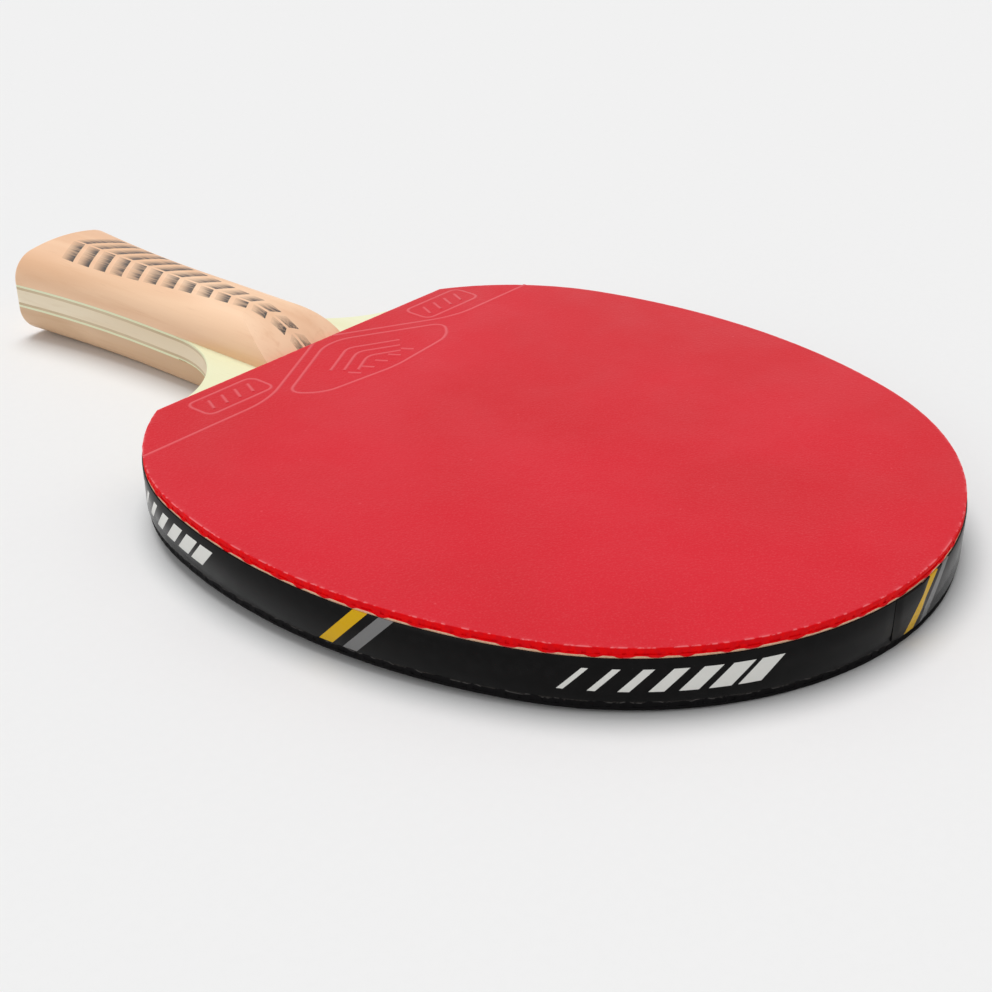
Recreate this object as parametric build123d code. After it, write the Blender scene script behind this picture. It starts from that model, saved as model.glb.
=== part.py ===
from build123d import *
from math import asin, atan2, cos, degrees, hypot, radians, sin, sqrt
import os

# A table tennis paddle: a five-ply wooden blade whose tongue runs through the
# handle, two handle scales, two rubber coverings (each a sponge and a pimpled
# topsheet, pimples inwards) and a printed edge tape laid on in two lengths.
#
# Millimetres. The pieces are drawn with Y = 0 on the widest line of the head,
# Z = 0 at mid-thickness, +Y towards the handle and +Z out of the red face.
# They are moved at the end, so that the origin is the centre of the paddle.

# Head outline
HEAD_WIDTH = 150.0
TIP_DEPTH = 93.0            # widest line to the tip
TIP_ARC_ANGLE = 66.7        # half angle of the arc around the tip, degrees
SHOULDER_START = 33.5       # widest line to the start of the shoulder arc
SHOULDER_RADIUS = 56.0
RUBBER_CUT = 66.4           # widest line to the straight edge of the rubbers

# Blade
CORE_PLY = 3.6
CROSS_PLY = 0.7
FACE_PLY = 0.6
NECK_RADIUS = 30.0          # hollow between the shoulder and the handle
NECK_ROUND = 0.4            # sanded edge of the outer plies at the neck

# Handle
HANDLE_LENGTH = 95.3        # straight edge of the rubbers to the butt
HANDLE_THICKNESS = 24.2
NECK_WIDTH = 24.0
NECK_STRAIGHT = 11.0        # parallel length between the neck and the flare
BUTT_WIDTH = 32.8
CROWN_RADIUS = 49.0
SCALE_ROUND = 7.5           # long edges of the scales
SIDE_LEFT = 0.3             # least upright side left below that round
BUTT_ROUND = 1.0

# Ramp where a scale runs out on the blade
FOOT_GAP = 0.8              # straight edge of the rubber to the foot of the scale
FOOT_HEIGHT = 1.35          # blunt step at the foot
RAMP_RADIUS = 32.7
RAMP_OVERRUN = 0.14         # how far the ramp's arc would rise above the crown

# Rubber coverings
SPONGE = 1.9
PIP_HEIGHT = 0.75
PIP_DIAMETER = 1.6
PIP_PITCH = 2.2
PIP_BAND = 3.4              # depth of the rim in which every pimple is cut out
SKIN = 0.7
SKIN_ROUND = 0.12           # worn outer rim of the skin

# Edge tape
TAPE_WIDTH = 8.7
TAPE_THICKNESS = 0.3
TAPE_STOP = 2.0             # tape's end to the straight edge of the rubbers
LAP_EDGE = -10.5            # X of the free end that lies on top
LAP_LENGTH = 9.0
LAP_STEP = 1.8              # length over which the upper length steps down
LAP_CLEARANCE = 0.1

# Derived sizes
HEAD_HALF = HEAD_WIDTH / 2
NECK_HALF = NECK_WIDTH / 2
BUTT_HALF = BUTT_WIDTH / 2
BLADE_HALF = CORE_PLY / 2 + CROSS_PLY + FACE_PLY
HANDLE_HALF = HANDLE_THICKNESS / 2
BUTT_Y = RUBBER_CUT + HANDLE_LENGTH
FOOT_Y = RUBBER_CUT + FOOT_GAP
CENTRE_Y = (BUTT_Y - TIP_DEPTH - 2 * TAPE_THICKNESS) / 2
BEYOND = 4 * (HEAD_WIDTH + HANDLE_LENGTH)


def on_circle(centre, radius, angle):
    """Point of a circle at an angle in degrees."""
    turn = radians(angle)
    return (centre[0] + radius * cos(turn), centre[1] + radius * sin(turn))


# The tip arc and the side arc are tangent where the outline has turned by
# TIP_ARC_ANGLE, and together they reach the tip and the widest line.
TIP_SIN = sin(radians(TIP_ARC_ANGLE))
TIP_COS = cos(radians(TIP_ARC_ANGLE))
TIP_SPLIT = TIP_SIN * TIP_COS - (1 - TIP_SIN) * (1 - TIP_COS)
TIP_RADIUS = (HEAD_HALF * TIP_COS - TIP_DEPTH * (1 - TIP_SIN)) / TIP_SPLIT
SIDE_RADIUS = (TIP_DEPTH * TIP_SIN - HEAD_HALF * (1 - TIP_COS)) / TIP_SPLIT
TIP_CENTRE = (0, TIP_RADIUS - TIP_DEPTH)
SIDE_CENTRE = (HEAD_HALF - SIDE_RADIUS, 0)
SIDE_START = TIP_ARC_ANGLE - 90

# The shoulder arc leaves the side arc in a tangent, and the neck hollow joins
# the shoulder arc to the straight side of the handle.
SIDE_END = degrees(asin(SHOULDER_START / SIDE_RADIUS))
SHOULDER_CENTRE = on_circle(SIDE_CENTRE, SIDE_RADIUS - SHOULDER_RADIUS, SIDE_END)
HOLLOW_X = NECK_HALF + NECK_RADIUS
HOLLOW_RISE = sqrt((SHOULDER_RADIUS + NECK_RADIUS) ** 2 - (HOLLOW_X - SHOULDER_CENTRE[0]) ** 2)
HOLLOW_CENTRE = (HOLLOW_X, SHOULDER_CENTRE[1] + HOLLOW_RISE)
SHOULDER_END = degrees(atan2(HOLLOW_RISE, HOLLOW_X - SHOULDER_CENTRE[0]))

# The flare is one arc, tangent to the straight side of the handle.
FLARE_START = HOLLOW_CENTRE[1] + NECK_STRAIGHT
FLARE_RUN = BUTT_Y - FLARE_START
FLARE_RISE = BUTT_HALF - NECK_HALF
FLARE_RADIUS = (FLARE_RUN ** 2 + FLARE_RISE ** 2) / (2 * FLARE_RISE)
FLARE_CENTRE = (NECK_HALF + FLARE_RADIUS, FLARE_START)
FLARE_END = 180 - degrees(asin(FLARE_RUN / FLARE_RADIUS))

# The round of a scale's long edge runs from its crown to its upright side. It
# can be no larger than the scale's wall allows at the butt, where that is least.
WALL_REACH = CROWN_RADIUS - HANDLE_HALF + BLADE_HALF
WALL_SPARE = CROWN_RADIUS ** 2 - BUTT_HALF ** 2 - WALL_REACH ** 2
WALL_ROUND = WALL_SPARE / (2 * (CROWN_RADIUS - BUTT_HALF)) - SIDE_LEFT
EDGE_ROUND = min(SCALE_ROUND, WALL_ROUND)


def arc(centre, radius, start, end):
    """Arc of a circle between two angles in degrees."""
    middle = on_circle(centre, radius, (start + end) / 2)
    return ThreePointArc(on_circle(centre, radius, start), middle, on_circle(centre, radius, end))


def handle_side(start_y):
    """Side of the handle on the +X side, from start_y to the butt."""
    straight = Line((NECK_HALF, start_y), (NECK_HALF, FLARE_START))
    return straight + arc(FLARE_CENTRE, FLARE_RADIUS, 180, FLARE_END)


def closed_face(side, *ends):
    """Face between a +X side, its mirror image and the lines that close it."""
    return make_face(side + mirror(side, about=Plane.YZ) + list(ends))


def round_butt(face):
    """The face with its two corners at the butt rounded."""
    return fillet(face.vertices().group_by(Axis.Y)[-1], BUTT_ROUND)


def blade_outline():
    """Plan of the blade: the head, the neck and the tongue in the handle."""
    side = arc(TIP_CENTRE, TIP_RADIUS, -90, SIDE_START)
    side += arc(SIDE_CENTRE, SIDE_RADIUS, SIDE_START, SIDE_END)
    side += arc(SHOULDER_CENTRE, SHOULDER_RADIUS, SIDE_END, SHOULDER_END)
    side += arc(HOLLOW_CENTRE, NECK_RADIUS, SHOULDER_END + 180, 180)
    side += handle_side(HOLLOW_CENTRE[1])
    return round_butt(closed_face(side, Line((BUTT_HALF, BUTT_Y), (-BUTT_HALF, BUTT_Y))))


def band(low, high):
    """Endless strip of the plan between two values of Y."""
    return Pos(0, (low + high) / 2) * Rectangle(BEYOND, high - low)


def columns(low, high):
    """Endless strip of the plan between two values of X."""
    return Pos((low + high) / 2, 0) * Rectangle(high - low, BEYOND)


def slab(face, bottom, thickness):
    """Solid of the face's outline from Z = bottom upwards."""
    return Pos(0, 0, bottom) * extrude(face, thickness)


def to_black_side(solid):
    """The same piece on the other side of the blade."""
    return mirror(solid, about=Plane.XY)


BLADE = blade_outline()
HEAD = BLADE & band(-BEYOND, RUBBER_CUT)


def face_ply():
    """Outer ply on the red side, its edge sanded round at the bare neck."""
    bottom = BLADE_HALF - FACE_PLY
    neck_end = HOLLOW_CENTRE[1]
    neck = slab(BLADE & band(RUBBER_CUT, neck_end), bottom, FACE_PLY)
    top_edges = neck.edges().group_by(Axis.Z)[-1]
    sides = [edge for edge in top_edges if edge.geom_type == GeomType.CIRCLE]
    neck = fillet(sides, NECK_ROUND)
    head = slab(HEAD, bottom, FACE_PLY)
    tongue = slab(BLADE & band(neck_end, BEYOND), bottom, FACE_PLY)
    return head + neck + tongue


def ramp_profile():
    """Side view of a scale, in Y and Z, with the ramp at its foot."""
    foot = (FOOT_Y, BLADE_HALF + FOOT_HEIGHT)
    apex_z = HANDLE_HALF + RAMP_OVERRUN
    drop = foot[1] - (apex_z - RAMP_RADIUS)
    apex = (FOOT_Y + sqrt(RAMP_RADIUS ** 2 - drop ** 2), apex_z)
    start = 180 - degrees(asin(drop / RAMP_RADIUS))
    ramp = arc((apex[0], apex_z - RAMP_RADIUS), RAMP_RADIUS, start, 90)
    butt_y = BUTT_Y + HANDLE_HALF
    rest = Polyline(apex, (butt_y, apex_z), (butt_y, 0), (FOOT_Y, 0), foot)
    return make_face(ramp + rest)


def handle_scale():
    """Scale on the red side: flared plan, crowned top, round edges, ramp."""
    ends = (Line((NECK_HALF, FOOT_Y), (-NECK_HALF, FOOT_Y)),
            Line((BUTT_HALF, BUTT_Y), (-BUTT_HALF, BUTT_Y)))
    plan = closed_face(handle_side(FOOT_Y), *ends)
    blank = slab(plan, BLADE_HALF, HANDLE_THICKNESS)
    crown = Pos(0, 0, HANDLE_HALF - CROWN_RADIUS) * Rot(90, 0, 0) * Cylinder(CROWN_RADIUS, BEYOND)
    blank &= crown
    upper = [edge for edge in blank.edges() if edge.center().Z > BLADE_HALF + BUTT_ROUND]
    blank = fillet([edge for edge in upper if edge.bounding_box().size.Y > BUTT_ROUND], EDGE_ROUND)
    butt = blank.edges().group_by(Axis.Y)[-1].sort_by(Axis.Z)
    blank = fillet(butt[1:], BUTT_ROUND)
    profile = extrude(Plane.YZ * ramp_profile(), BEYOND / 2, both=True)
    return blank & profile


def rim_depth(x, y):
    """How far a point of the head lies inside its outline."""
    x = abs(x)
    if degrees(atan2(y - TIP_CENTRE[1], x)) < SIDE_START:
        centre, radius = TIP_CENTRE, TIP_RADIUS
    elif degrees(atan2(y, x - SIDE_CENTRE[0])) < SIDE_END:
        centre, radius = SIDE_CENTRE, SIDE_RADIUS
    else:
        centre, radius = SHOULDER_CENTRE, SHOULDER_RADIUS
    return min(radius - hypot(x - centre[0], y - centre[1]), RUBBER_CUT - y)


def rim_pips():
    """Centres of the pimples that stand in the rim band or are cut by the edge."""
    row_step = PIP_PITCH * sqrt(3) / 2
    rows = int((TIP_DEPTH + RUBBER_CUT) / row_step) + 2
    per_row = int(HEAD_HALF / PIP_PITCH) + 2
    centres = []
    for row in range(rows):
        y = RUBBER_CUT - row * row_step
        shift = PIP_PITCH / 2 * (row % 2)
        for place in range(-per_row, per_row + 1):
            x = place * PIP_PITCH + shift
            if -PIP_DIAMETER / 4 < rim_depth(x, y) < PIP_BAND:
                centres.append((x, y))
    return centres


def topsheet():
    """Red topsheet: skin, cut-out pimples around the rim, solid bed inside."""
    bottom = BLADE_HALF + SPONGE
    pip = Circle(PIP_DIAMETER / 2)
    pips = Sketch() + [Pos(x, y) * pip for x, y in rim_pips()]
    bed = offset(HEAD, -PIP_BAND, kind=Kind.INTERSECTION)
    layer = (pips + bed) & HEAD
    skin = slab(HEAD, bottom + PIP_HEIGHT, SKIN)
    skin = fillet(skin.edges().group_by(Axis.Z)[-1], SKIN_ROUND)
    return skin + slab(layer, bottom, PIP_HEIGHT)


def tape_ring(layer):
    """Plan of one layer of tape around the head, counted from the blade out."""
    inner = offset(BLADE, layer * TAPE_THICKNESS) if layer else BLADE
    ring = offset(BLADE, (layer + 1) * TAPE_THICKNESS) - inner
    return ring & band(-BEYOND, RUBBER_CUT - TAPE_STOP)


def tape(plan):
    """Tape of the plan's shape, centred on the edge of the blade."""
    return slab(plan, -TAPE_WIDTH / 2, TAPE_WIDTH)


def edge_tape_first():
    """Length on the -X side; its end lies under the second length."""
    return tape(tape_ring(0) & columns(-BEYOND, LAP_EDGE + LAP_LENGTH))


def edge_tape_second():
    """Length on the +X side; its end steps over the first one at the tip."""
    start = LAP_EDGE + LAP_LENGTH + LAP_CLEARANCE
    lower = tape_ring(0) & columns(start, BEYOND)
    over = tape_ring(1) & columns(LAP_EDGE, start + LAP_STEP) & band(-BEYOND, 0)
    return tape(lower + over)


def build_parts():
    """Every piece of the paddle, by the name of its node."""
    cross_bottom = CORE_PLY / 2
    cross_ply = slab(BLADE, cross_bottom, CROSS_PLY)
    outer_ply = face_ply()
    scale = handle_scale()
    sponge = slab(HEAD, BLADE_HALF, SPONGE)
    sheet = topsheet()
    return {
        "core_ply": slab(BLADE, -CORE_PLY / 2, CORE_PLY),
        "cross_ply_red_side": cross_ply,
        "cross_ply_black_side": to_black_side(cross_ply),
        "face_ply_red_side": outer_ply,
        "face_ply_black_side": to_black_side(outer_ply),
        "handle_scale_red_side": scale,
        "handle_scale_black_side": to_black_side(scale),
        "sponge_red_side": sponge,
        "sponge_black_side": to_black_side(sponge),
        "topsheet_red": sheet,
        "topsheet_black": to_black_side(sheet),
        "edge_tape_first": edge_tape_first(),
        "edge_tape_second": edge_tape_second(),
    }


os.makedirs("parts", exist_ok=True)
for name, solid in build_parts().items():
    export_step(Pos(0, -CENTRE_Y, 0) * solid, f"parts/{name}.step")
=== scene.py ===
import random
from math import atan2, ceil, cos, pi, radians, sin, tan

import bpy
import numpy as np
from mathutils import Matrix, Vector, noise
from mathutils.geometry import interpolate_bezier


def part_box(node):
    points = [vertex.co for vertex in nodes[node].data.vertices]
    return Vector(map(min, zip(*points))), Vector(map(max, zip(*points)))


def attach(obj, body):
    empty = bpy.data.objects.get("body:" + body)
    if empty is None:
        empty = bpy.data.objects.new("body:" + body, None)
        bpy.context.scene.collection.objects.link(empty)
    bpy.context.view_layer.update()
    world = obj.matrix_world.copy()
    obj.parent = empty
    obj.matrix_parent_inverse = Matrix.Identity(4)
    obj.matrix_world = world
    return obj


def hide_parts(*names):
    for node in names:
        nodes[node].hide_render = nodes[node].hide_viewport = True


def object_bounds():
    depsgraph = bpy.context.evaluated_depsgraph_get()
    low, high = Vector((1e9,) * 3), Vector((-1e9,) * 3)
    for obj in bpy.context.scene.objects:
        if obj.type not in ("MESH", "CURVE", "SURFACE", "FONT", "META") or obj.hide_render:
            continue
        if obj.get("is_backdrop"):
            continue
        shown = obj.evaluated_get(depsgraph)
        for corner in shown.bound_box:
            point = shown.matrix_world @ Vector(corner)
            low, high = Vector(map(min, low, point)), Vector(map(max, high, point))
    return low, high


# The looks of a table tennis paddle. Metres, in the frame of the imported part:
# +Y along the handle, +Z out of the red rubber. The veneers, the handle scales
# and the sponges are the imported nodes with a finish. The topsheets and the edge
# tapes are modelled here again, with their cut rims, mouldings and prints.

MM = 0.001
MARKS = ("raised", "highlight_and_wear", "cut")   # what each vertex of a modelled piece is marked for
SHARP_TURN = 48                 # a fold above this many degrees stays sharp

# Camera: the direction of its place from its target and its roll, in degrees,
# its distance, and the target from the middle of the part
CAMERA_AZIMUTH = -49.67
CAMERA_ELEVATION = 28.84
CAMERA_ROLL = -0.41
CAMERA_DISTANCE = 327.4 * MM
CAMERA_LENS = 58.25             # focal length in mm, on a sensor 36 mm wide
CAMERA_SENSOR = 36
TARGET_FROM_CENTRE = Vector((-19.86, -42.03, 0)) * MM

# Cut rim of the rubbers
RIM_STEP = 0.4 * MM             # spacing of the points along the rim
SPAN_POINTS = 12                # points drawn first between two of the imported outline's
RIM_PROUD = 0.09 * MM           # how far the rough rim stands out at most
SKIN = 0.7 * MM
PIP_DIAMETER = 1.6 * MM
PIP_PITCH = 2.2 * MM
PIP_SIDES = 14
PIP_SHY = 0.05 * MM             # how far inside the rim a cut pimple ends
PIP_SINK = 0.02 * MM            # how far the pimples and the bed reach into the skin
PIP_LEVELS = ((0.0, 1.0), (0.3, 0.94), (1.0, 1.06))     # share of height, swell
BED_INSET = 0.17 * MM           # torn rubber that fills the gaps between cut pimples
BED_ROUGH = 0.08 * MM
BED_SHARES = (0.0, 0.35, 0.7, 1.0)      # of its height, a ring at each
HEM_DROP = 0.3 * MM             # rubber dragged over the sponge's edge by the knife
HEM_OVERLAP = 0.05 * MM         # how far the hem starts above the sponge
HEM_ROUGH = 0.03                # mm
HEM_TOOTH = (1.0, 2.9)          # length of a tooth of the hem, mm
HEM_GAP = (2.2, 5.6)            # length between two teeth, mm
HEM_REACH = (0.98, 1.1)         # drop of a tooth, as a share of the way to the tape

# Section of the skin from its lower edge over the rim to its flat face, in mm:
# inset, rise, roughness, how much painted highlight it has, partly standing for scuffs, and
# how cut it is
SKIN_SECTION = (
    (0.02, -0.02, 0.06, 0.0, 1.0),
    (0.00, 0.20, 0.06, 0.0, 1.0),
    (0.00, 0.46, 0.05, 0.0, 1.0),
    (0.03, 0.60, 0.04, 0.1, 0.9),
    (0.10, 0.67, 0.02, 0.6, 0.4),
    (0.20, 0.695, 0.01, 0.35, 0.1),
    (0.45, 0.70, 0.0, 0.05, 0.0),
    (1.1, 0.70, 0.0, 0.0, 0.0),
)
SKIN_SHARES = (0.97, 0.93, 0.86, 0.76, 0.62, 0.45, 0.25, 0.08)  # rings of the flat face

# Section of the hem: inset in mm, share of the drop, and how much painted glint it has, partly
# standing for scuffs
HEM_SECTION = (
    (0.3, 0.0, 0.0),
    (0.0, 0.0, 0.0),
    (-0.05, 0.5, 0.0),
    (-0.03, 0.86, 0.5),
    (0.06, 1.0, 0.2),
    (0.3, 0.9, 0.0),
)

# Mouldings on the skin of a rubber, placed from the middle of the straight cut.
# A drop is a distance from that cut, and lengths without MM are in mm
MOULD_SHIFT = 4.0 * MM          # the sheet was cut a little off the middle
MOULD_WIDTH = 1.15 * MM
MOULD_HEIGHT = 0.10 * MM
BORDER_DROP = 15.2 * MM         # straight cut to the border line
ROOF_FOOT = 31.0 * MM           # middle to the foot of the border's raised part
ROOF_SLOPE = 28.0               # degrees
ROOF_DROP = 0.5                 # drop of the upper ends of the raised part
ROOF_ROUND = 6 * MM             # radius of the corners, here and below
BORDER_SHORT = 0.6 * MM         # how far the border line stops inside the rim
MOULD_STEP = 0.5 * MM           # spacing of the points along a line

# The frame in the middle: its corners, each an offset to the side and a drop,
# and what fills it
PLATE = ((-26, 16), (-3, 3.6), (3, 3.6), (26, 16), (20.5, 22), (0, 24.3), (-20.5, 22))
PLATE_ROUND = 3.4 * MM
CHEVRONS = 3
CHEVRON_DROP = 8.5              # drop of the point of the first one
CHEVRON_PITCH = 3.4
CHEVRON_HALF = 11.5             # half width of the first one
CHEVRON_TAPER = 2.2             # how much less the half width of each next one is
CHEVRON_ROUND = 2 * MM
PLATE_BARS = {"count": 5, "pitch": 4.4, "lean": 0.8, "drops": (18.4, 20.9)}

# The two small frames at its sides
TAG_ASIDE = 35                  # offset of the frame's middle
TAG_HALF = 9.5
TAG_DROPS = (3.2, 11.2)         # drops of its two long sides
TAG_ROUND = 2.2 * MM
TAG_BARS = {"count": 4, "pitch": 3.8, "lean": -0.9, "drops": (5.2, 9.2)}

# Section of a rib: shares of its width and of its height
RIB_SECTION = (
    (-0.5, -0.25),
    (-0.3, 0.35),
    (-0.12, 0.92),
    (0.12, 0.92),
    (0.3, 0.35),
    (0.5, -0.25),
)

# Print on the edge tapes, along the rim from the tip
PRINT_START = -2.6 * MM
PRINT_REPEAT = 114.7 * MM
STRIPE_WIDTH = 3.1 * MM
STRIPE_PITCH = 5.4 * MM
STRIPE_SLANT = 0.92             # run along the rim for each unit of height
BARS_START = 44.5 * MM
BARS_PITCH = 5.2 * MM
BARS = 7
BARS_HEIGHT = 4.6 * MM
BARS_FILL = (0.22, 0.82)        # width of the first and the last, in shares of the pitch

# Edge tapes
TAPE_THICKNESS = 0.3 * MM
TAPE_EASE = 0.06 * MM           # eased edges of the tape
TAPE_WAVE = 0.03 * MM           # how far its edges stray up and down
TAPE_SEED = 5
LAP_OVER = 0.06 * MM            # thickness of the upper length, stretched over the lower
LAP_EASE = 2.5 * MM             # run over which they thin out

# Print on the handle: herringbone bars that narrow to a point at the head
HERRING_PITCH = 6.4 * MM
HERRING_SLANT = 0.7
HERRING_BAR = (0.05, 0.78)      # where a bar starts and ends, in shares of the pitch
HERRING_FADE = (0.05, 0.85, 1.0, 0.12)      # and how its ink fades, from and to
HERRING_SPINE = 0.35 * MM       # half width of the bare middle line
HERRING_HALF = 9.0 * MM         # half width of the print at the butt
HERRING_POINT = 2.2 * MM        # half width at the head
HERRING_REACH = (2 * MM, 12 * MM)   # it grows from 2 past the head's end of the scale
                                # to 12 short of the butt's
HERRING_END = 5.0 * MM          # bare length left at the butt

# Light: a soft sun overhead, a weak one low on the left, and an even surround.
# A sun is its strength, its width and its lean about X and Y, in degrees
OVERHEAD = (1.78, 38, (-15, 8))
FILL = (0.3, 50, (-10, -62))
SURROUND = 0.42
BACKDROP = 0.87                 # what the camera and reflections see beyond the floor
FLOOR_HALF = 6.0

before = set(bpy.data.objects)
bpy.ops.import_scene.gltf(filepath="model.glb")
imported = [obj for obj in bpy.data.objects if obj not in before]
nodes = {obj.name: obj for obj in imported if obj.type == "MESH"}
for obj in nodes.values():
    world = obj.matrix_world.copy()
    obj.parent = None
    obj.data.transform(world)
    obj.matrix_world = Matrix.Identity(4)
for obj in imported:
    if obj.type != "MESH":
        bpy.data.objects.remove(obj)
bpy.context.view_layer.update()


# ---------------------------------------------------------------- materials

def colour(red, green, blue):
    """Linear colour of an sRGB colour given as three numbers up to 255."""
    parts = [part / 255 for part in (red, green, blue)]
    linear = [p / 12.92 if p <= 0.04045 else ((p + 0.055) / 1.055) ** 2.4 for p in parts]
    return (*linear, 1.0)


class Finish:
    """A material whose nodes are built up call by call on object coordinates."""

    def __init__(self, name):
        self.material = bpy.data.materials.new(name)
        self.material.use_nodes = True
        self.tree = self.material.node_tree
        self.shader = self.tree.nodes["Principled BSDF"]
        self.place = self.node("ShaderNodeTexCoord").outputs["Object"]

    def node(self, kind, **settings):
        made = self.tree.nodes.new(kind)
        for setting, value in settings.items():
            setattr(made, setting, value)
        return made

    def feed(self, socket, value):
        """Links a socket to an output, or sets it to a constant."""
        if isinstance(value, bpy.types.NodeSocket):
            self.tree.links.new(value, socket)
        else:
            socket.default_value = value

    def surface(self, **inputs):
        """Sets inputs of the shader, with underscores for the spaces."""
        for name, value in inputs.items():
            self.feed(self.shader.inputs[name.replace("_", " ")], value)

    def math(self, operation, first, second=0.0, third=0.0):
        made = self.node("ShaderNodeMath", operation=operation)
        for socket, value in zip(made.inputs, (first, second, third)):
            self.feed(socket, value)
        return made.outputs[0]

    def axes(self, place=None):
        """X, Y and Z of a place."""
        split = self.node("ShaderNodeSeparateXYZ")
        self.feed(split.inputs[0], place or self.place)
        return split.outputs

    def scaled(self, scale, turn=(0, 0, 0), place=None):
        """Coordinates stretched by a scale for each axis, after a turn."""
        mapping = self.node("ShaderNodeMapping")
        self.feed(mapping.inputs["Vector"], place or self.place)
        mapping.inputs["Rotation"].default_value = [radians(angle) for angle in turn]
        mapping.inputs["Scale"].default_value = scale
        return mapping.outputs[0]

    def noise(self, scale, detail=2.0, roughness=0.5, place=None, warp=0.0):
        made = self.node("ShaderNodeTexNoise")
        self.feed(made.inputs["Vector"], place or self.place)
        made.inputs["Scale"].default_value = scale
        made.inputs["Detail"].default_value = detail
        made.inputs["Roughness"].default_value = roughness
        made.inputs["Distortion"].default_value = warp
        return made.outputs["Fac"]

    def cells(self, scale):
        made = self.node("ShaderNodeTexVoronoi")
        self.feed(made.inputs["Vector"], self.place)
        made.inputs["Scale"].default_value = scale
        return made.outputs["Distance"]

    def spread(self, value, low, high, to_low=0.0, to_high=1.0):
        """Value mapped from one range to another, and held at its ends."""
        made = self.node("ShaderNodeMapRange", interpolation_type="SMOOTHSTEP")
        for socket, number in zip(made.inputs, (value, low, high, to_low, to_high)):
            self.feed(socket, number)
        return made.outputs[0]

    def mix(self, share, first, second):
        """The first colour, and the second where the share is 1."""
        made = self.node("ShaderNodeMix", data_type="RGBA")
        self.feed(made.inputs["Factor"], share)
        self.feed(made.inputs[6], first)
        self.feed(made.inputs[7], second)
        return made.outputs[2]

    def bump(self, height, depth, under=None):
        """Relief whose height of 1 stands for a depth in metres."""
        made = self.node("ShaderNodeBump")
        made.inputs["Distance"].default_value = depth
        self.feed(made.inputs["Height"], height)
        if under is not None:
            self.feed(made.inputs["Normal"], under)
        return made.outputs[0]


def rubber_finish(name, tone, deep, pale, fresh, level):
    """Topsheet rubber: fine leathery grain, faint rubbed lines and specks, a painted
    highlight on the raised ribs, a painted highlight and glints along the cut rim's edges
    that partly stand for scuffs, and fresh where it is cut. Level is its specular
    level where it isn't cut."""
    f = Finish(name)
    raised, highlight_and_wear, cut = (f.node("ShaderNodeAttribute", attribute_name=mark).outputs["Fac"]
                         for mark in MARKS)
    speckle = f.noise(2600, 2.0, 0.6)
    paint = f.mix(f.spread(f.noise(22, 2.0), 0.3, 0.7), tone, deep)
    paint = f.mix(f.spread(speckle, 0.48, 0.72, 0, 0.06), paint, pale)
    lines = f.noise(1, 2.0, 0.5, f.scaled((260, 9000, 300), (0, 0, 28)))
    patches = f.spread(f.noise(34), 0.56, 0.68)
    rubbed = f.math("MULTIPLY", f.spread(lines, 0.66, 0.74), patches)
    paint = f.mix(f.math("MULTIPLY", rubbed, 0.12), paint, pale)
    paint = f.mix(f.spread(f.cells(150), 0.02, 0.05, 0.14, 0), paint, pale)
    # Painted highlight: the raised ribs are painted paler, for light caught on them.
    paint = f.mix(f.math("MULTIPLY", raised, 0.32), paint, pale)
    torn = f.mix(f.spread(f.noise(800, 2.0), 0.35, 0.65, 0, 0.45), fresh, deep)
    paint = f.mix(cut, paint, torn)
    # Painted highlight and glints: the marked rim edges turn pale in broken dashes, standing
    # for light caught on the skin's top edge and the hem's lower edge, and partly for scuffs.
    highlight_and_scuffs = f.math("MULTIPLY", highlight_and_wear, f.spread(f.noise(700, 3.0), 0.47, 0.58))
    paint = f.mix(highlight_and_scuffs, paint, pale)
    grain = f.math("ADD", f.noise(1900, 2.0), f.math("MULTIPLY", f.cells(1300), 0.7))
    relief = f.bump(f.noise(90, 2.0), 0.08 * MM, f.bump(grain, 0.034 * MM))
    shine = f.spread(f.noise(60, 3.0), 0.3, 0.7, 0.36, 0.46)
    f.surface(Base_Color=paint, Roughness=f.math("ADD", shine, f.math("MULTIPLY", cut, 0.2)))
    f.surface(Normal=relief, Specular_IOR_Level=f.spread(cut, 0, 1, level, 0.05))
    return f.material


def wood_finish(name, pale, dark, fibre, shine=0.5, turn=(0, 0, 0), printing=None):
    """Sanded wood: long fibres, broader figure, and short dark pores. Printing
    changes the colour and the roughness where ink lies on it."""
    f = Finish(name)
    fibres = f.noise(fibre, 3.0, 0.6, f.scaled((1, 0.035, 1), turn), 0.4)
    figure = f.noise(90, 2.0, 0.5, f.scaled((1, 0.12, 1), turn), 0.5)
    pores = f.noise(2600, 1.0, 0.5, f.scaled((1, 0.05, 1), turn))
    paint = f.mix(f.spread(figure, 0.32, 0.68), pale, dark)
    paint = f.mix(f.spread(fibres, 0.5, 0.75, 0, 0.55), paint, dark)
    paint = f.mix(f.spread(pores, 0.66, 0.8, 0, 0.12), paint, pore_tone(dark))
    relief = f.bump(fibres, 0.03 * MM)
    relief = f.bump(pores, -0.015 * MM, relief)
    rough = f.spread(fibres, 0.3, 0.7, shine - 0.05, shine + 0.12)
    if printing:
        paint, rough = printing(f, paint, rough)
    f.surface(Base_Color=paint, Roughness=rough, Normal=relief)
    return f.material


def pore_tone(tone):
    """A darker, browner colour than the given one."""
    return (tone[0] * 0.62, tone[1] * 0.52, tone[2] * 0.42, 1.0)


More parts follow.
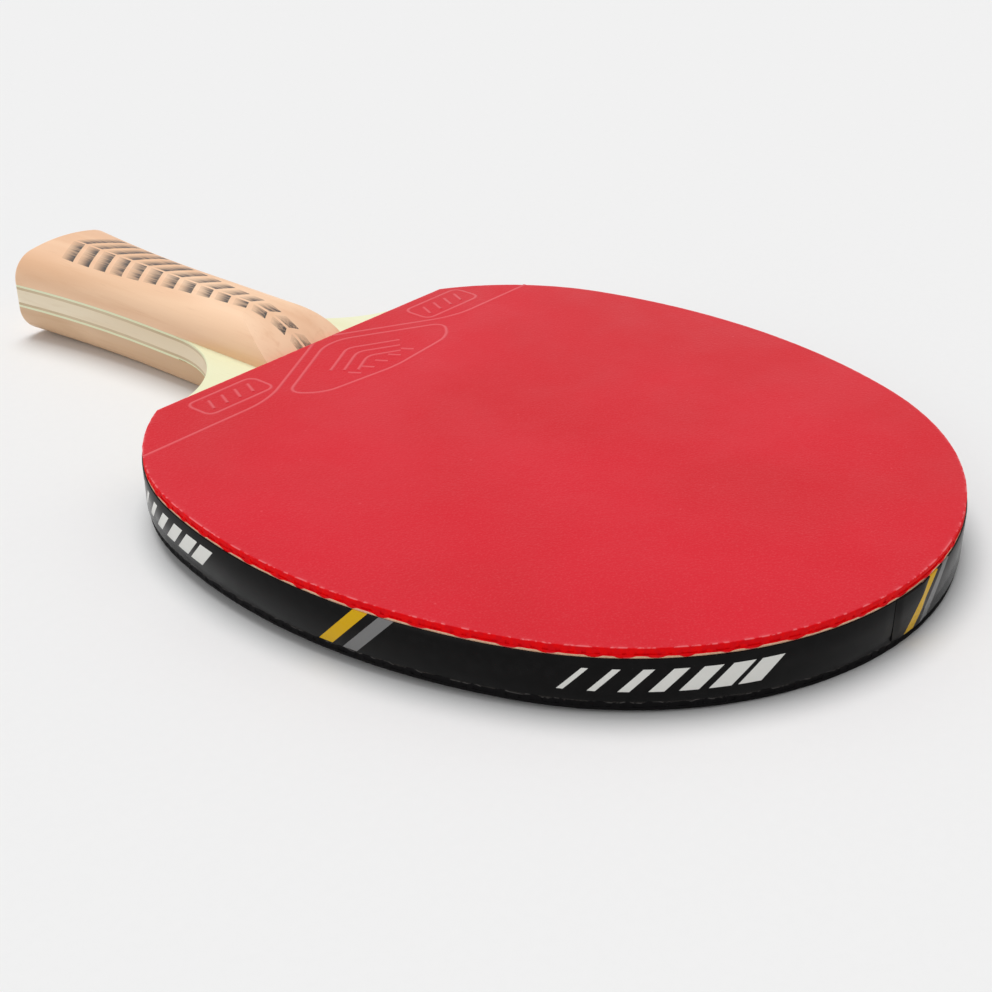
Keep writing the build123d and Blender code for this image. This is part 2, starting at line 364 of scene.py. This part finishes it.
def herringbone_print(f, paint, rough):
    """Dark slanted bars on each side of the handle's middle line, which narrow
    to a point where the ramp meets the blade."""
    low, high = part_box("handle_scale_red_side")
    x, y, z = f.axes()
    aside = f.math("ABSOLUTE", x)
    slanted = f.math("ADD", y, f.math("MULTIPLY", aside, HERRING_SLANT))
    start, stop = low.y - HERRING_REACH[0], high.y - HERRING_REACH[1]
    bars = f.math("DIVIDE", f.math("SUBTRACT", slanted, low.y), HERRING_PITCH)
    step = f.math("FRACT", bars)
    reach = f.spread(y, start, stop, HERRING_POINT, HERRING_HALF)
    ink = f.math("MULTIPLY", between(f, step, *HERRING_BAR), f.spread(step, *HERRING_FADE))
    ink = f.math("MULTIPLY", ink, between(f, aside, HERRING_SPINE, reach))
    ink = f.math("MULTIPLY", ink, f.math("LESS_THAN", slanted, high.y - HERRING_END))
    streaks = f.noise(1700, 2.0, 0.6, f.scaled((1, 0.06, 1)))
    ink = f.math("MULTIPLY", ink, f.spread(streaks, 0.38, 0.56, 0.62, 1.0))
    ink = f.math("MULTIPLY", ink, f.math("GREATER_THAN", z, low.z + MM))
    inked_rough = (0.42, 0.42, 0.42, 1.0)
    return f.mix(ink, paint, colour(30, 22, 20)), f.mix(ink, rough, inked_rough)


def sponge_finish(name, tone, deep):
    """Cut sponge: fine open cells."""
    f = Finish(name)
    cells = f.cells(3800)
    paint = f.mix(f.spread(cells, 0.2, 0.75), deep, tone)
    paint = f.mix(f.spread(f.noise(300, 3.0), 0.4, 0.7, 0, 0.3), paint, deep)
    f.surface(Base_Color=paint, Roughness=0.92, Normal=f.bump(cells, 0.05 * MM))
    f.shader.inputs["Specular IOR Level"].default_value = 0.2
    return f.material


def tape_finish(name):
    """Satin black tape with slanted stripes and plain bars printed on it."""
    f = Finish(name)
    place = f.node("ShaderNodeUVMap", uv_map="tape").outputs[0]
    along, height, _ = f.axes(place)
    slanted = f.math("SUBTRACT", along, f.math("MULTIPLY", height, STRIPE_SLANT))
    step = f.math("DIVIDE", f.math("SUBTRACT", slanted, PRINT_START), PRINT_REPEAT)
    spot = f.math("MULTIPLY", f.math("FRACT", step), PRINT_REPEAT)
    black = f.mix(f.spread(f.noise(500, 3.0), 0.35, 0.7), colour(5, 4, 4), colour(12, 11, 11))
    yellow_stripe = between(f, spot, 0, STRIPE_WIDTH)
    paint = f.mix(yellow_stripe, black, colour(226, 178, 22))
    grey_stripe = between(f, spot, STRIPE_PITCH, STRIPE_PITCH + STRIPE_WIDTH)
    paint = f.mix(grey_stripe, paint, colour(128, 128, 128))
    bars = f.math("DIVIDE", f.math("SUBTRACT", spot, BARS_START), BARS_PITCH)
    fill = f.spread(bars, 0.0, BARS, *BARS_FILL)
    bar = f.math("LESS_THAN", f.math("FRACT", bars), fill)
    bar = f.math("MULTIPLY", bar, between(f, bars, 0, BARS))
    bar = f.math("MULTIPLY", bar, between(f, height, -BARS_HEIGHT / 2, BARS_HEIGHT / 2))
    paint = f.mix(bar, paint, colour(234, 234, 229))
    scuffs = f.noise(1, 3.0, 0.6, f.scaled((900, 160, 1), (0, 0, 12), place))
    rubbed = f.math("MULTIPLY", f.spread(scuffs, 0.68, 0.8), f.spread(f.noise(45), 0.5, 0.7))
    paint = f.mix(f.math("MULTIPLY", rubbed, 0.25), paint, colour(150, 150, 150))
    shine = f.spread(f.noise(260, 3.0), 0.3, 0.7, 0.15, 0.25)
    relief = f.bump(f.noise(120, 2.0), 0.05 * MM, f.bump(f.noise(2400, 2.0), 0.006 * MM))
    f.surface(Base_Color=paint, Roughness=shine, Normal=relief)
    f.shader.inputs["Specular IOR Level"].default_value = 0.1
    return f.material


def between(f, value, low, high):
    """1 where a value lies between two others, else 0."""
    above = f.math("GREATER_THAN", value, low)
    return f.math("MULTIPLY", above, f.math("LESS_THAN", value, high))


def floor_finish():
    """White paper."""
    f = Finish("floor_finish")
    paper = f.mix(f.noise(500, 2.0), colour(239, 239, 239), colour(241, 241, 241))
    f.surface(Base_Color=paper, Roughness=0.9)
    f.shader.inputs["Specular IOR Level"].default_value = 0.0
    return f.material


# ------------------------------------------------------------- rim geometry

def rim_corners():
    """Points of the head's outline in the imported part, from one end of the
    straight cut round the tip to the other end."""
    low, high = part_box("sponge_red_side")
    middle = (low.y + high.y) / 2
    vertices = nodes["sponge_red_side"].data.vertices
    found = {(round(v.co.x, 6), round(v.co.y, 6)) for v in vertices}
    ordered = sorted(found, key=lambda point: atan2(point[0], middle - point[1]))
    return [Vector(point) for point in ordered]


def tangents(points):
    """Direction of a smooth curve at each of its points."""
    steps = [b - a for a, b in zip(points, points[1:])]
    inner = [(a.normalized() * b.length + b.normalized() * a.length).normalized()
             for a, b in zip(steps, steps[1:])]
    first = 2 * steps[0].normalized() * steps[0].normalized().dot(inner[0]) - inner[0]
    last = 2 * steps[-1].normalized() * steps[-1].normalized().dot(inner[-1]) - inner[-1]
    return [first] + inner + [last]


def smooth_through(points, step):
    """Evenly spaced points on a smooth curve through the given ones."""
    ways = tangents(points)
    fine = [points[0]]
    for a, b, way_a, way_b in zip(points, points[1:], ways, ways[1:]):
        reach = (b - a).length / 3
        fine += interpolate_bezier(a, a + way_a * reach, b - way_b * reach, b, SPAN_POINTS)[1:]
    return evenly([p.to_2d() for p in fine], step)


def evenly(points, step):
    """The same line with its points at an even spacing."""
    runs = np.cumsum([0] + [(b - a).length for a, b in zip(points, points[1:])])
    marks = np.linspace(0, runs[-1], max(2, ceil(runs[-1] / step)) + 1)
    xs = np.interp(marks, runs, [p.x for p in points])
    ys = np.interp(marks, runs, [p.y for p in points])
    return [Vector((x, y)) for x, y in zip(xs, ys)]


class Rim:
    """Outline of the head: its points, outward directions and run from the tip."""

    def __init__(self):
        self.curve = smooth_through(rim_corners(), RIM_STEP)
        cut = evenly([self.curve[-1], self.curve[0]], RIM_STEP)
        self.loop = self.curve + cut[1:-1]
        self.outward = self.normals(self.loop, True)
        self.curve_outward = self.normals(self.curve, False)
        runs = np.cumsum([0] + [(b - a).length for a, b in zip(self.curve, self.curve[1:])])
        tip = min(range(len(self.curve)), key=lambda i: self.curve[i].y)
        self.runs = [float(run - runs[tip]) for run in runs]
        self.cut_y = self.curve[0].y
        self.array = np.array([[p.x, p.y] for p in self.loop])
        self.array_outward = np.array([[n.x, n.y] for n in self.outward])

    @staticmethod
    def normals(points, closed):
        """Sideways direction of a line at each of its points."""
        found = []
        last = len(points) - 1
        for i in range(len(points)):
            before = points[i - 1] if closed or i > 0 else points[i]
            after = points[(i + 1) % len(points)] if closed or i < last else points[i]
            way = (after - before).normalized()
            found.append(Vector((way.y, -way.x)))
        return found

    def depth(self, x, y):
        """Nearest place of the rim, and how far inside it a point lies."""
        gaps = self.array - (x, y)
        near = int(np.argmin((gaps ** 2).sum(1)))
        return near, float(gaps[near] @ self.array_outward[near])


class Shape:
    """Vertices and faces of a mesh that is put together from lofts. Each vertex
    has a mark for how raised it is, how much painted highlight and glint it carries,
    partly standing for wear, and how freshly cut it is."""

    def __init__(self):
        self.points = []
        self.faces = []
        self.marks = []

    def ring(self, points, raised=0.0, highlight_and_wear=0.0, cut=0.0):
        """Adds points with one set of marks, and gives their numbers."""
        start = len(self.points)
        self.points += points
        self.marks += [(raised, highlight_and_wear, cut)] * len(points)
        return list(range(start, len(self.points)))

    def bridge(self, lower, upper, closed=True):
        """Faces between two rings with the same number of points."""
        count = len(lower)
        for i in range(count if closed else count - 1):
            j = (i + 1) % count
            self.faces.append((lower[i], lower[j], upper[j], upper[i]))

    def cap(self, ring, flip=False):
        """A face that closes a ring."""
        self.faces.append(tuple(reversed(ring)) if flip else tuple(ring))

    def build(self, name, finish):
        """The object made of the shape, with its marks as attributes."""
        mesh = bpy.data.meshes.new(name)
        mesh.from_pydata([tuple(p) for p in self.points], [], self.faces)
        mesh.update()
        for mark, values in zip(MARKS, zip(*self.marks)):
            mesh.attributes.new(mark, "FLOAT", "POINT").data.foreach_set("value", values)
        mesh.materials.append(finish)
        piece = bpy.data.objects.new(name, mesh)
        bpy.context.scene.collection.objects.link(piece)
        mesh.polygons.foreach_set("use_smooth", [True] * len(mesh.polygons))
        mesh.set_sharp_from_angle(angle=radians(SHARP_TURN))
        return piece


def ripple(x, y, scale, seed):
    """Smooth noise of about -1 to 1 over a place, with features of 1 / scale
    metres. Another seed gives another noise."""
    return noise.noise(Vector((x * scale, y * scale, seed * 3.7)))


# ---------------------------------------------------------------- topsheets

def inner_ring(rim, share, z):
    """Outline of the head drawn in towards the middle of the head."""
    middle = Vector((0, (rim.cut_y + min(p.y for p in rim.loop)) / 2))
    return [(*(middle + (p - middle) * share), z) for p in rim.loop]


def rim_ring(rim, inset, height, roughness, seed):
    """Outline set in by an amount that varies along the cut rim."""
    ring = []
    for p, n in zip(rim.loop, rim.outward):
        uneven = ripple(p.x, p.y, 420, seed) + 0.7 * ripple(p.x, p.y, 1500, seed + 5)
        at = p - n * max(inset + roughness * uneven, -RIM_PROUD)
        ring.append((at.x, at.y, height + 0.5 * roughness * ripple(p.x, p.y, 900, seed + 9)))
    return ring


def skin(shape, rim, bottom, top, seed):
    """Smooth outer skin of a topsheet, with a knife-cut rim whose rounded top edge has a
    painted highlight, broken up like scuffs.
    """
    scale = (top - bottom) / (SKIN_SECTION[-1][1] * MM)
    rings = []
    for inset, rise, rough, highlight_and_wear, cut in SKIN_SECTION:
        points = rim_ring(rim, inset * MM, bottom + rise * MM * scale, rough * MM, seed)
        if rough == 0:
            points = [(x, y, top) for x, y, _ in points]
        # The section's share marks the rounded top edge for a painted highlight.
        rings.append(shape.ring(points, highlight_and_wear=highlight_and_wear, cut=cut))
    for share in SKIN_SHARES:
        rings.append(shape.ring(inner_ring(rim, share, top)))
    for lower, upper in zip(rings, rings[1:]):
        shape.bridge(lower, upper)
    shape.cap(rings[-1])
    shape.cap(rings[0], flip=True)


def pimples(shape, rim, bottom, top):
    """Pimples in the rim band, cut through where the knife met them."""
    row_step = PIP_PITCH * sin(radians(60))
    half = max(abs(p.x) for p in rim.loop)
    rows = int((rim.cut_y - min(p.y for p in rim.loop)) / row_step) + 2
    per_row = int(half / PIP_PITCH) + 2
    for row in range(rows):
        for place in range(-per_row, per_row + 1):
            x = (place + 0.5 * (row % 2)) * PIP_PITCH
            y = rim.cut_y - row * row_step
            depth = rim.depth(x, y)[1]
            if -PIP_DIAMETER / 4 < depth < PIP_DIAMETER / 2 + BED_INSET:
                pimple(shape, rim, x, y, bottom, top)


def pimple(shape, rim, x, y, bottom, top):
    """One pimple: a short post that is a little thicker where it meets the skin."""
    rings = []
    for share, swell in PIP_LEVELS:
        height = bottom + share * (top - bottom)
        points = []
        for i in range(PIP_SIDES):
            turn = 2 * pi * i / PIP_SIDES
            px = x + PIP_DIAMETER / 2 * swell * cos(turn)
            py = y + PIP_DIAMETER / 2 * swell * sin(turn)
            near, depth = rim.depth(px, py)
            if depth < PIP_SHY:
                px, py = rim.loop[near] - rim.outward[near] * PIP_SHY
            points.append((px, py, height))
        rings.append(shape.ring(points, cut=1.0))
    for lower, upper in zip(rings, rings[1:]):
        shape.bridge(lower, upper)
    shape.cap(rings[-1])
    shape.cap(rings[0], flip=True)


def bed(shape, rim, bottom, top):
    """Rubber behind the cut pimples, which closes the view between them."""
    rings = []
    for share in BED_SHARES:
        z = bottom + share * (top - bottom)
        torn = rim_ring(rim, BED_INSET * (1.3 - 0.6 * share), z, BED_ROUGH, 20 + share)
        rings.append(shape.ring([(x, y, z) for x, y, _ in torn], cut=1.0))
    for lower, upper in zip(rings, rings[1:]):
        shape.bridge(lower, upper)
    shape.cap(rings[-1])
    shape.cap(rings[0], flip=True)


def hem_drops(rim, full, draws):
    """How far the dragged rubber hangs at each point of the rim: a little
    everywhere, and in short teeth the full way down to the tape."""
    drops = [HEM_DROP * (1 + 0.35 * ripple(p.x, p.y, 650, 31)) for p in rim.loop]
    at = 0
    while at < len(rim.curve):
        tooth = round(draws.uniform(*HEM_TOOTH) * MM / RIM_STEP) + 1
        reach = full * draws.uniform(*HEM_REACH)
        for step in range(tooth + 1):
            share = sin(pi * (step + 0.4) / (tooth + 0.8)) ** 0.3
            i = (at + step) % len(drops)
            drops[i] = max(drops[i], reach * share)
        at += tooth + round(draws.uniform(*HEM_GAP) * MM / RIM_STEP)
    return drops


def hem(shape, rim, high, low, draws):
    """Rubber dragged down over the edge of the sponge by the knife."""
    drops = hem_drops(rim, high - low, draws)
    rows = []
    for inset, share, highlight_and_wear in HEM_SECTION:
        row = []
        for p, n, drop in zip(rim.loop, rim.outward, drops):
            at = p - n * (inset + HEM_ROUGH * ripple(p.x, p.y, 800, 40 + share)) * MM
            row.append((at.x, at.y, high - share * drop))
        # The section's share marks the hem's lower edge for painted glints.
        rows.append(shape.ring(row, highlight_and_wear=highlight_and_wear, cut=1.0))
    for lower, upper in zip(rows, rows[1:] + rows[:1]):
        shape.bridge(upper, lower)


# ---------------------------------------------------------------- mouldings

def rounded(points, radius, closed):
    """The line with its corners rounded, at an even spacing."""
    count = len(points)
    fine = []
    for i, corner in enumerate(points):
        if not closed and i in (0, count - 1):
            fine.append(corner)
            continue
        before, after = points[i - 1] - corner, points[(i + 1) % count] - corner
        cut = min(radius, before.length / 2.2, after.length / 2.2)
        a = corner + before.normalized() * cut
        b = corner + after.normalized() * cut
        bend = interpolate_bezier(a, a.lerp(corner, 0.6), b.lerp(corner, 0.6), b, 9)
        fine += [p.to_2d() for p in bend]
    if closed:
        fine.append(fine[0])
    return evenly(fine, MOULD_STEP)


def rib(shape, points, base, closed):
    """A low moulded rib with a soft section along a line on the skin."""
    if closed:
        points = points[:-1]
    ways = Rim.normals(points, closed)
    rows = []
    for across, rise in RIB_SECTION:
        level = base + rise * MOULD_HEIGHT
        row = [(*(p + n * across * MOULD_WIDTH), level) for p, n in zip(points, ways)]
        # The raised rows are marked for the rib's painted highlight.
        rows.append(shape.ring(row, raised=max(0.0, rise)))
    for lower, upper in zip(rows, rows[1:]):
        shape.bridge(upper, lower, closed)
    shape.bridge(rows[0], rows[-1], closed)
    if not closed:
        shape.cap([row[0] for row in rows], flip=True)
        shape.cap([row[-1] for row in rows])


def mould_layout(rim):
    """Lines of the moulded border, its frame and the plain fillings, each with
    whether it is closed."""
    def at(x, drop):
        return Vector((MOULD_SHIFT + x * MM, rim.cut_y - drop * MM))

    drop = BORDER_DROP / MM
    foot = ROOF_FOOT / MM
    top_x = foot - (drop - ROOF_DROP) / tan(radians(ROOF_SLOPE))
    border_y = rim.cut_y - BORDER_DROP
    edge = max(abs(p.x) for p in rim.loop if abs(p.y - border_y) < MM)
    lines = []
    for side in (-1, 1):
        end = Vector((side * (edge - BORDER_SHORT), border_y))
        roof = [end, at(side * foot, drop), at(side * top_x, ROOF_DROP)]
        lines.append((rounded(roof, ROOF_ROUND, False), False))
    plate = [at(*corner) for corner in PLATE]
    lines.append((rounded(plate, PLATE_ROUND, True), True))
    for step in range(CHEVRONS):
        point = CHEVRON_DROP + CHEVRON_PITCH * step
        lines.append((chevron(at, point, CHEVRON_HALF - CHEVRON_TAPER * step), False))
    lines += slanted_bars(at, 0, **PLATE_BARS)
    for side in (-1, 1):
        x = side * TAG_ASIDE
        near, far = TAG_DROPS
        tag = [at(x - TAG_HALF, near), at(x + TAG_HALF, near),
               at(x + TAG_HALF, far), at(x - TAG_HALF, far)]
        lines.append((rounded(tag, TAG_ROUND, True), True))
        lines += slanted_bars(at, x, **TAG_BARS)
    return lines


def chevron(at, drop, half):
    """A wide flat chevron, open towards the tip."""
    rise = half * tan(radians(ROOF_SLOPE))
    corners = [at(-half, drop + rise), at(0, drop), at(half, drop + rise)]
    return rounded(corners, CHEVRON_ROUND, False)


def slanted_bars(at, middle, count, pitch, lean, drops):
    """A row of short parallel lines, each open."""
    lines = []
    for bar in range(count):
        x = middle + (bar - (count - 1) / 2) * pitch
        ends = [at(x - lean, drops[0]), at(x + lean, drops[1])]
        lines.append((evenly(ends, MOULD_STEP), False))
    return lines


def topsheet(rim, node, finish, seed):
    """A whole topsheet that stands for a packed one. It is drawn for the red side
    and mirrored for the black one."""
    low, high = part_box(node)
    shape = Shape()
    red_side = high.z > 0
    bottom, top = (low.z, high.z) if red_side else (-high.z, -low.z)
    draws = random.Random(seed)
    pip_top = top - SKIN
    skin(shape, rim, pip_top, top, seed)
    pimples(shape, rim, bottom, pip_top + PIP_SINK)
    bed(shape, rim, bottom, pip_top + PIP_SINK)
    tape_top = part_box("edge_tape_first")[1].z
    hem(shape, rim, bottom + HEM_OVERLAP, tape_top, draws)
    for line, closed in mould_layout(rim):
        rib(shape, line, top, closed)
    if not red_side:
        shape.points = [(x, y, -z) for x, y, z in shape.points]
        shape.faces = [tuple(reversed(face)) for face in shape.faces]
    piece = shape.build(node + "_skin", finish)
    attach(piece, "root")
    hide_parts(node)


# -------------------------------------------------------------------- tapes

def tape_section(low, high, inner, outer):
    """Cross-section of the tape, out from the rim and up, its edges eased."""
    return [(inner, low), (outer - TAPE_EASE, low), (outer, low + TAPE_EASE),
            (outer, (low + high) / 2),
            (outer, high - TAPE_EASE), (outer - TAPE_EASE, high), (inner, high)]


def lap_lift(second, x):
    """How far a length of tape stands off the blade's edge, and its thickness,
    at a place along X near the tip."""
    over_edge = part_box("edge_tape_second")[0].x
    under_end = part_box("edge_tape_first")[1].x
    under_thickness = TAPE_THICKNESS - LAP_OVER
    if second:
        rise = eased((under_end + LAP_EASE - x) / LAP_EASE)
        thin = eased((over_edge + LAP_EASE - x) / LAP_EASE)
        return rise * under_thickness, TAPE_THICKNESS - thin * under_thickness
    thin = eased((x - over_edge + LAP_EASE) / LAP_EASE)
    return 0.0, TAPE_THICKNESS - thin * LAP_OVER


def eased(share):
    """Smooth step from 0 to 1."""
    share = min(1.0, max(0.0, share))
    return share * share * (3 - 2 * share)


def tape(rim, node, finish):
    """Edge tape wound along the rim. Near the tip one length rises over the other.
    Its UV map holds the run along the rim from the tip, and the height."""
    low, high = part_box(node)
    shape = Shape()
    rings = []
    places = []
    for p, n, run in zip(rim.curve, rim.curve_outward, rim.runs):
        if p.y > high.y or not low.x <= p.x <= high.x:
            continue
        lift, thick = lap_lift(node == "edge_tape_second", p.x)
        wave = TAPE_WAVE * ripple(p.x, p.y, 160, TAPE_SEED)
        ring = []
        for out, z in tape_section(low.z, high.z, 0.0, thick):
            at = p + n * (out + lift)
            ring.append((at.x, at.y, z + wave))
        rings.append(shape.ring(ring))
        places.append(run)
    for lower, upper in zip(rings, rings[1:]):
        shape.bridge(lower, upper)
    shape.cap(rings[0], flip=True)
    shape.cap(rings[-1])
    piece = shape.build(node + "_printed", finish)
    per_ring = len(rings[0])
    layer = piece.data.uv_layers.new(name="tape")
    for loop in piece.data.loops:
        point = piece.data.vertices[loop.vertex_index].co
        layer.data[loop.index].uv = (places[loop.vertex_index // per_ring], point.z)
    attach(piece, "root")
    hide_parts(node)


# ------------------------------------------------------------ stage and view

def floor():
    """A plain floor on which the paddle rests, head tip and butt."""
    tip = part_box("topsheet_black")[0]
    butt_low, butt_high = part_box("handle_scale_black_side")
    slope = atan2(butt_low.z - tip.z, butt_high.y - tip.y)
    mesh = bpy.data.meshes.new("floor")
    signs = [(-1, -1), (1, -1), (1, 1), (-1, 1)]
    corners = [(x * FLOOR_HALF, y * FLOOR_HALF, 0) for x, y in signs]
    mesh.from_pydata(corners, [], [(0, 1, 2, 3)])
    mesh.materials.append(floor_finish())
    plane = bpy.data.objects.new("floor", mesh)
    bpy.context.scene.collection.objects.link(plane)
    turn = Matrix.Rotation(slope, 4, "X")
    plane.matrix_world = Matrix.Translation((0, tip.y, tip.z)) @ turn
    plane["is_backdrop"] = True


def surround():
    """Even light from all round. The camera and reflections see a paler backdrop
    than the diffuse surfaces are lit by."""
    world = bpy.data.worlds.new("surround")
    world.use_nodes = True
    tree = world.node_tree
    seen = tree.nodes.new("ShaderNodeLightPath").outputs
    shade = tree.nodes["Background"]
    shade.inputs["Color"].default_value = (1, 1, 1, 1)
    total = seen["Is Camera Ray"]
    for ray in ("Is Glossy Ray", "Is Transmission Ray"):
        either = tree.nodes.new("ShaderNodeMath")
        either.operation = "MAXIMUM"
        tree.links.new(total, either.inputs[0])
        tree.links.new(seen[ray], either.inputs[1])
        total = either.outputs[0]
    level = tree.nodes.new("ShaderNodeMapRange")
    tree.links.new(total, level.inputs["Value"])
    level.inputs["To Min"].default_value = SURROUND
    level.inputs["To Max"].default_value = BACKDROP
    tree.links.new(level.outputs[0], shade.inputs["Strength"])
    bpy.context.scene.world = world


def sun(name, strength, width, lean):
    """A sun lamp. A positive lean about X brings its light from -Y, and one
    about Y from +X."""
    data = bpy.data.lights.new(name, "SUN")
    data.energy = strength
    data.angle = radians(width)
    obj = bpy.data.objects.new(name, data)
    obj.rotation_euler = [radians(angle) for angle in (*lean, 0)]
    bpy.context.scene.collection.objects.link(obj)


def camera():
    """Camera at the viewing angle, aimed at the head."""
    low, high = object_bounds()
    turn = radians(CAMERA_AZIMUTH)
    rise = radians(CAMERA_ELEVATION)
    roll = radians(CAMERA_ROLL)
    back = Vector((sin(turn) * cos(rise), -cos(turn) * cos(rise), sin(rise)))
    right = Vector((cos(turn), sin(turn), 0))
    up = back.cross(right)
    right, up = cos(roll) * right + sin(roll) * up, -sin(roll) * right + cos(roll) * up
    data = bpy.data.cameras.new("camera")
    data.sensor_width = CAMERA_SENSOR
    data.lens = CAMERA_LENS
    data.clip_start = 0.01
    obj = bpy.data.objects.new("camera", data)
    place = (low + high) / 2 + TARGET_FROM_CENTRE + back * CAMERA_DISTANCE
    axes = Matrix((right, up, back)).transposed().to_4x4()
    obj.matrix_world = Matrix.Translation(place) @ axes
    bpy.context.scene.collection.objects.link(obj)
    bpy.context.scene.camera = obj


# ------------------------------------------------------------------ assembly

def coat(node, finish):
    """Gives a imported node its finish."""
    nodes[node].data.materials.clear()
    nodes[node].data.materials.append(finish)


def blade_and_handle():
    """Finishes of the plies and of the handle scales."""
    cream = colour(253, 240, 214)
    straw = colour(238, 219, 188)
    coat("core_ply", wood_finish("core_finish", cream, straw, 900, shine=0.6))
    cross_pale = colour(226, 206, 172)
    cross_dark = colour(204, 180, 144)
    face_pale = colour(242, 245, 212)
    face_dark = colour(235, 236, 196)
    for side in ("red", "black"):
        name = f"cross_ply_{side}_side"
        coat(name, wood_finish(name + "_finish", cross_pale, cross_dark, 1400,
                               shine=0.65, turn=(0, 0, 90)))
        name = f"face_ply_{side}_side"
        coat(name, wood_finish(name + "_finish", face_pale, face_dark, 700))
    coat("handle_scale_red_side",
         wood_finish("scale_red_finish", colour(254, 213, 176), colour(236, 187, 147), 520,
                     shine=0.45, printing=herringbone_print))
    coat("handle_scale_black_side",
         wood_finish("scale_black_finish", colour(232, 197, 162), colour(212, 174, 136), 520,
                     shine=0.45))


def sponges():
    """Finishes of the two sponges."""
    coat("sponge_red_side",
         sponge_finish("sponge_red_finish", colour(252, 212, 180), colour(238, 188, 152)))
    coat("sponge_black_side",
         sponge_finish("sponge_black_finish", colour(60, 57, 55), colour(34, 32, 31)))


outline = Rim()
camera()
blade_and_handle()
sponges()
# Pale is the colour of the specks and dust, and of the painted highlights and glints.
red = rubber_finish("red_rubber", tone=colour(215, 12, 37), deep=colour(208, 9, 30),
                    pale=colour(246, 150, 156), fresh=colour(248, 8, 14), level=0.17)
black = rubber_finish("black_rubber", tone=colour(30, 29, 30), deep=colour(24, 23, 24),
                      pale=colour(140, 136, 134), fresh=colour(20, 19, 20), level=0.17)
topsheet(outline, "topsheet_red", red, 3)
topsheet(outline, "topsheet_black", black, 4)
tape(outline, "edge_tape_first", tape_finish("tape_first_finish"))
tape(outline, "edge_tape_second", tape_finish("tape_second_finish"))
floor()
surround()
sun("overhead", *OVERHEAD)
sun("fill", *FILL)
bpy.context.scene.view_settings.view_transform = "Standard"
